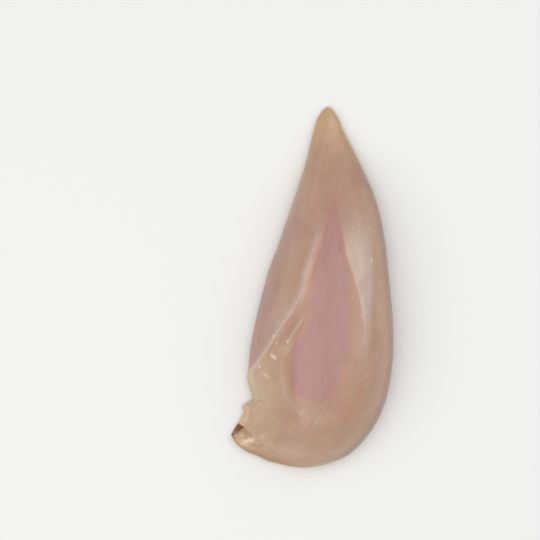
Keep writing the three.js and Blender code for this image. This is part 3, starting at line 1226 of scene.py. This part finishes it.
    def rib_zones(self, grid: Grid) -> dict[Zone, Array]:
        """How strongly zones show on the rib side.

        The bed of the inner fillet is pinker, with a pale line of membrane along its lip, streaks
        of thin membrane run along the fibres, and the meat is rosier here and there.

        Args:
            grid: The rings.

        Returns:
            For some zones, numbers from 0 to 1 in the shape of the rings.
        """
        off, bed = self.form.rib_bed(grid.x, grid.y)
        streaks = smoothstep(self.membrane.at(grid.u, grid.v), *self.membrane_clear)
        rosy = smoothstep(self.rosiness.at(grid.x, grid.y), *self.rosiness_clear)
        return {
            Zone.PINK: self.bed_pink * bed,
            Zone.LINE: self.bed_lip.shown(off, grid.y) + self.streaks_beside * streaks * (1 - bed),
            Zone.BAND: self.streaks_in_bed * streaks * bed,
            Zone.ROSE: self.rib_rose * rosy,
        }


@dataclass(frozen=True)
class FleshSurface:
    """The whole fillet as one closed surface, finer than the solid and with the marks of the meat."""

    form: FilletForm
    marks: SkinMarks
    stations: int = 384
    top_steps: int = 178
    roll_steps: int = 14
    flat_steps: int = 48
    even_steps: float = 0.45
    rolled_reach: float = 1.3
    rolled_most: float = 0.3
    skin_edge: Span = (3, 0)
    slit_step: float = 1.5
    slit_drop: float = 2.6
    gap_lower: float = 0.55
    ragged: tuple[Noise, ...] = (Noise(0.2, 2.3, 2.4, 8), Noise(0.12, 0.9, 1.1, 5))
    ragged_at: float = 22.0
    ragged_reach: float = 12.0
    ragged_depth: float = 1.8
    uneven: tuple[Noise, ...] = (Noise(0.18, 7, 11, 1), Noise(0.08, 2.6, 5, 2))
    bundles: tuple[Noise, ...] = (Noise(0.06, 3.4, 34, 14), Noise(0.03, 1.5, 26, 4))
    bundles_inside: Span = (1, 6)
    fold_ridge: Stripe = Stripe(0.3, 0, 0.8, (0.05, 0.4, 1, 2))
    fold_groove: Stripe = Stripe(-0.16, -1.9, 1.1, (0.05, 0.4, 1, 2))
    fringe: Stripe = Stripe(0.45, -1.5, 1.3, (0.55, 0.7, 0.92, 1))
    fringe_lumps: Noise = Noise(1, 0.9, 0.9, 6)
    patch_lumps: Noise = Noise(0.3, 1, 1, 9)
    fine_inside: Span = (0, 2.5)
    rib_bundles: Noise = Noise(0.3, 2.6, 30, 31)
    rib_inside: Span = (4, 10)
    bed_depth: float = 1.9
    bed_lip: Stripe = Stripe(0.6, -13, 2.2, (14, 40, 88, 120))
    crescents: tuple[Fold, ...] = (
        Fold(
            path=((-0.71, 0.095), (-0.655, 0.085), (-0.65, 0.074), (-0.683, 0.0625)),
            height=0.4, width=0.8,
        ),
        Fold(
            path=((-0.6, 0.0995), (-0.533, 0.086), (-0.522, 0.071), (-0.572, 0.061)),
            height=0.35, width=0.9,
        ),
        Fold(
            path=((-0.66, 0.0615), (-0.6, 0.0565), (-0.51, 0.06)),
            height=-0.4, width=0.7,
        ),
        Fold(
            path=((-1.0, 0.11), (-0.86, 0.101), (-0.78, 0.086), (-0.71, 0.074), (-0.63, 0.066)),
            height=-0.9, width=1.1, fade_in=0.1, fade_out=0.4,
        ),
    )
    fibre_turn: float = 22.0
    fibre_bend: float = 0.0017
    fibre_middle: float = 80.0

    def shares(self) -> Array:
        """Places from 0 to 1 across a station: even in the middle, close together at both rims."""
        even = np.linspace(0, 1, self.top_steps + 1)
        return self.even_steps * even + (1 - self.even_steps) * (1 - np.cos(even * math.pi)) / 2

    def fibre_map(self, across: Array, along: Array) -> tuple[Array, Array]:
        """Millimetres across and along the fibres.

        The fibres are turned from the length, and bend with the square of the distance from the
        middle, so that they run from the thick edge down to the wing corner.

        Args:
            across: Millimetres across, measured over the surface.
            along: Millimetres along.

        Returns:
            The two coordinates of the grain map.
        """
        turn = math.radians(self.fibre_turn)
        bend = self.fibre_bend * (along - self.fibre_middle) ** 2
        u = across * math.cos(turn) - along * math.sin(turn) + bend
        return u, across * math.sin(turn) + along * math.cos(turn)

    def grid(self) -> Grid:
        """Works out the rings: a straight chord from rim to rim at each station.

        Over the top the height is the form's skin side plus all relief; under it the form's
        underside. Near the left rim points move sideways with the tears, less the further in.

        Returns:
            The rings, one row each, from the left rim over the top and back underneath.
        """
        form = self.form
        left, right = (rim[1:-1] for rim in form.rims(self.stations))
        width = np.hypot(*(right - left).T)[:, None]
        over = np.broadcast_to(self.shares(), (len(width), self.top_steps + 1))
        rolled = np.minimum(self.rolled_reach * form.roll_under / width, self.rolled_most)
        turn = 1 - np.cos(np.arange(1, self.roll_steps + 1) / self.roll_steps * math.pi / 2)
        level = np.arange(1, self.flat_steps) / self.flat_steps
        flat = rolled + (1 - 2 * rolled) * level
        under = np.hstack([rolled * turn, flat, 1 - rolled * turn[::-1]])
        share = np.hstack([over, 1 - under])
        x, y = (left[:, [k]] + share * (right - left)[:, [k]] for k in (0, 1))

        inside, from_left, rim_y = form.inside(x, y), share * width, left[:, 1:]
        is_top = np.arange(share.shape[1]) <= self.top_steps
        over_top = form.skin_side(x, y, inside)
        under_top = form.underside(x, y, inside)
        smooth = np.where(is_top, over_top, under_top)
        ragged = self.ragged_by(rim_y, smooth) * bell(from_left, self.ragged_depth)
        moved = x + form.torn_by(rim_y, from_left) + ragged
        across = self.over_surface(x[:, is_top], over_top[:, is_top], y)
        under_across = across[:, -1:] + (across[:, :1] - across[:, -1:]) * under
        u, v = self.fibre_map(np.hstack([across, under_across]), y)
        skin = np.where(is_top, 1.0, smoothstep(inside, *self.skin_edge))
        bare = Grid(moved, y, smooth, inside, from_left, u, v, skin)

        top = over_top + form.relief_strength(x, y, inside) * self.relief(moved, y)
        top = top + self.fine_relief(bare)
        least = np.minimum(form.least_thickness, inside)
        above = top - under_top - least
        top = (top + under_top + least + np.hypot(above, least / 2)) / 2
        z = np.where(is_top, top, under_top + self.rib_relief(bare))
        rim = form.rim_height(x, y)
        z[:, 0], z[:, self.top_steps] = rim[:, 0], rim[:, self.top_steps]
        return replace(bare, z=z * (1 - self.gap_lower * self.marks.gap(moved, y)))

    def ragged_by(self, rim_y: Array, z: Array) -> Array:
        """How far the torn rim's fibres and crumbs stand out or in, by seeded noise of two sizes.

        Args:
            rim_y: Where on the left rim each ring starts.
            z: Heights of the points.

        Returns:
            Millimetres, negative to the left.
        """
        crumbs = sum(noise.at(rim_y, z) for noise in self.ragged)
        return crumbs * bell(rim_y - self.ragged_at, self.ragged_reach)

    def over_surface(self, x: Array, z: Array, y: Array) -> Array:
        """Millimetres across, measured over the surface from the crown's path.

        Each step of a ring is as long as its rise and its run together. The sum of the steps is
        taken from the rim, and what lies before the crown's path is taken off again.

        Args:
            x: Places across, one row for each ring.
            z: Heights there.
            y: Places along.

        Returns:
            Millimetres, negative on the left of the crown.
        """
        crown = profile(self.form.crown_path, y[:, :1] / self.form.length)
        step = np.hypot(np.diff(x, axis=1), np.diff(z, axis=1))
        before = np.clip((crown - x[:, :-1]) / np.maximum(np.diff(x, axis=1), 1e-9), 0, 1)
        total = np.hstack([np.zeros_like(crown), np.cumsum(step, axis=1)])
        return total - (step * before).sum(axis=1, keepdims=True) + crown

    def relief(self, x: Array, y: Array) -> Array:
        """The relief of the solid, with a steeper step at the slit.

        Args:
            x: Places across.
            y: Places along.

        Returns:
            Heights in millimetres.
        """
        form = self.form
        sharper = replace(form.slit, step=self.slit_step, drop=self.slit_drop)
        change = form.fold_relief(sharper, x, y) - form.fold_relief(form.slit, x, y)
        return form.relief(x, y) + change

    def fine_relief(self, grid: Grid) -> Array:
        """Relief too fine for the solid.

        A narrow ridge on the fold with a groove beside it and a lumpy fringe, wrinkles at the tear,
        scraps of fat and skin, fibres that stand out a little, and gentle unevenness.

        Args:
            grid: The rings, still without relief.

        Returns:
            Heights to add.
        """
        form, x, y, inside = self.form, grid.x, grid.y, grid.inside
        total = sum(noise.at(x, y) for noise in self.uneven)
        bundles = sum(noise.at(grid.u, grid.v) for noise in self.bundles)
        total += bundles * smoothstep(inside, *self.bundles_inside)
        off, share = nearest(form.fold_line(form.fascia_fold), x, y)
        total += self.fold_ridge.shown(off, share) + self.fold_groove.shown(off, share)
        total += np.abs(self.fringe_lumps.at(x, y)) * self.fringe.shown(off, share)
        for fold in (*self.crescents, self.marks.second_line):
            total += form.fold_relief(fold, x, y)
        for _, patches in self.marks.patches:
            for patch in patches:
                if patch.rise:
                    total += patch.rise * patch.spread(x, y) * (1 + self.patch_lumps.at(x, y))
        return total * smoothstep(inside, *self.fine_inside)

    def rib_relief(self, grid: Grid) -> Array:
        """Relief of the rib side: the bed of the inner fillet, and coarse fibres.

        Args:
            grid: The rings, still without relief.

        Returns:
            Heights to add, never below the board.
        """
        off, bed = self.form.rib_bed(grid.x, grid.y)
        bundles = self.rib_bundles.amount + self.rib_bundles.at(grid.u, grid.v)
        total = self.bed_depth * bed + self.bed_lip.shown(off, grid.y) + bundles
        return total * smoothstep(grid.inside, *self.rib_inside)

    def faces(self, rings: int, around: int) -> list[tuple[int, ...]]:
        """Quads between neighbouring rings, and a fan of triangles to the point at each end.

        Args:
            rings: How many rings there are.
            around: How many points each has.

        Returns:
            The faces, pointing out. The two end points come after the rings' points.
        """
        i = np.arange(around)
        j = (i + 1) % around
        start = (np.arange(rings - 1) * around)[:, None]
        quads = np.stack([start + i, start + j, start + around + j, start + around + i], axis=2)
        last, count = (rings - 1) * around, rings * around
        shoulder = np.stack([np.full(around, count), j, i], axis=1)
        tail = np.stack([np.full(around, count + 1), last + i, last + j], axis=1)
        return [*quads.reshape(-1, 4).tolist(), *shoulder.tolist(), *tail.tolist()]

    def build(self) -> bpy.types.Object:
        """Builds the piece with its zones, its grain map and its material.

        Returns:
            The piece, which replaces the solid.
        """
        form, grid = self.form, self.grid()
        ends = form.place((form.shoulder_end, form.tail_tip))
        tips = np.column_stack([ends, form.rim_height(ends[:, 0], ends[:, 1])])
        points = np.vstack([np.stack([grid.x, grid.y, grid.z], axis=2).reshape(-1, 3), tips])
        mesh = bpy.data.meshes.new("chicken_breast_flesh")
        mesh.from_pydata(form.in_frame(points).tolist(), [], self.faces(*grid.x.shape))
        for zone, strength in self.marks.zones(grid).items():
            values = np.r_[strength.ravel(), strength[0].mean(), strength[-1].mean()]
            held = mesh.attributes.new(zone.value, "FLOAT", "POINT")
            held.data.foreach_set("value", values.astype(np.float32))

        # The grain map holds millimetres across and along the fibres
        grain = np.stack([grid.u, grid.v], axis=2)
        grain = np.vstack([grain.reshape(-1, 2), grain[0].mean(axis=0), grain[-1].mean(axis=0)])
        corner = np.empty(len(mesh.loops), np.int32)
        mesh.loops.foreach_get("vertex_index", corner)
        held = mesh.uv_layers.new(name="grain").data
        held.foreach_set("uv", grain[corner].astype(np.float32).ravel())
        mesh.polygons.foreach_set("use_smooth", np.ones(len(mesh.polygons), bool))
        mesh.materials.append(RawFlesh().material())
        mesh.update()

        piece = add_object("chicken_breast_flesh", mesh)
        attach(piece, BODY)
        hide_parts(NODE)
        LOG.info("%s: %d faces", piece.name, len(mesh.polygons))
        return piece


# The studio


@dataclass(frozen=True)
class SoftLight:
    """A square soft light: its name, its place and its side in metres, and its power in watts."""

    name: str
    place: tuple[float, float, float]
    side: float
    watts: float

    def build(self) -> None:
        """Hangs the light up so that it faces the fillet."""
        data = bpy.data.lights.new(self.name, "AREA")
        data.shape, data.size, data.energy = "SQUARE", self.side, self.watts
        lamp = add_object(self.name, data)
        lamp.location = self.place
        lamp.rotation_euler = (-Vector(self.place)).to_track_quat("-Z", "Y").to_euler()


@dataclass(frozen=True)
class Studio:
    """A pale floor, soft lights and a camera that looks straight down, as in the photograph."""

    form: FilletForm
    mm_per_pixel: float = 0.45
    frame_pixels: int = 540
    shoulder_pixel: Span = (315.0, 468.0)
    camera_height: float = 0.95
    sensor_mm: float = 36.0
    focus_height_mm: float = 8.0
    floor_half: float = 4.0
    floor_gap: float = 0.0002
    air: float = 0.42
    lights: tuple[SoftLight, ...] = (
        SoftLight("soft_key", (-0.45, -0.2, 0.8), 1.1, 5.4),
        SoftLight("soft_fill", (0.5, 0.2, 0.8), 1.1, 4.2),
    )

    def camera(self) -> None:
        """Puts the camera over the middle of the photograph's frame, at the photograph's scale."""
        half = self.frame_pixels / 2
        across = (half - self.shoulder_pixel[0]) * self.mm_per_pixel
        along = (self.shoulder_pixel[1] - half) * self.mm_per_pixel
        x, y, z = self.form.in_frame(np.array([across, along, self.focus_height_mm]))
        data = bpy.data.cameras.new("camera")
        data.sensor_width = self.sensor_mm
        shown = self.frame_pixels * self.mm_per_pixel / 1000
        data.lens = self.sensor_mm * self.camera_height / shown
        camera = add_object("camera", data)
        camera.location = (x, y, z + self.camera_height)
        bpy.context.scene.camera = camera

    def floor(self) -> None:
        """Lays the floor a hair under the fillet, so that their faces don't meet."""
        side, level = self.floor_half, CAD_LOW.z - self.floor_gap
        corners = [(x * side, y * side, level) for x, y in ((-1, -1), (1, -1), (1, 1), (-1, 1))]
        mesh = bpy.data.meshes.new("floor")
        mesh.from_pydata(corners, [], [(0, 1, 2, 3)])
        mesh.materials.append(PaleFloor().material())
        floor = add_object("floor", mesh)

    def build(self) -> None:
        """Sets up the air, the lights, the floor and the camera."""
        scene = bpy.context.scene
        scene.view_settings.view_transform = "Standard"
        world = bpy.data.worlds.new("soft_air")
        world.use_nodes = True
        background = world.node_tree.nodes["Background"]
        background.inputs["Color"].default_value = linear("#ffffff")
        background.inputs["Strength"].default_value = self.air
        scene.world = world
        for light in self.lights:
            light.build()
        self.floor()
        self.camera()
        LOG.info("studio: floor, %d lights and camera", len(self.lights))


def main() -> None:
    """Builds the studio and the fillet."""
    logging.basicConfig(level=logging.INFO, format="%(name)s: %(message)s")
    form = FilletForm()
    Studio(form).build()
    FleshSurface(form, SkinMarks(form)).build()


if __name__ == "__main__":
    main()
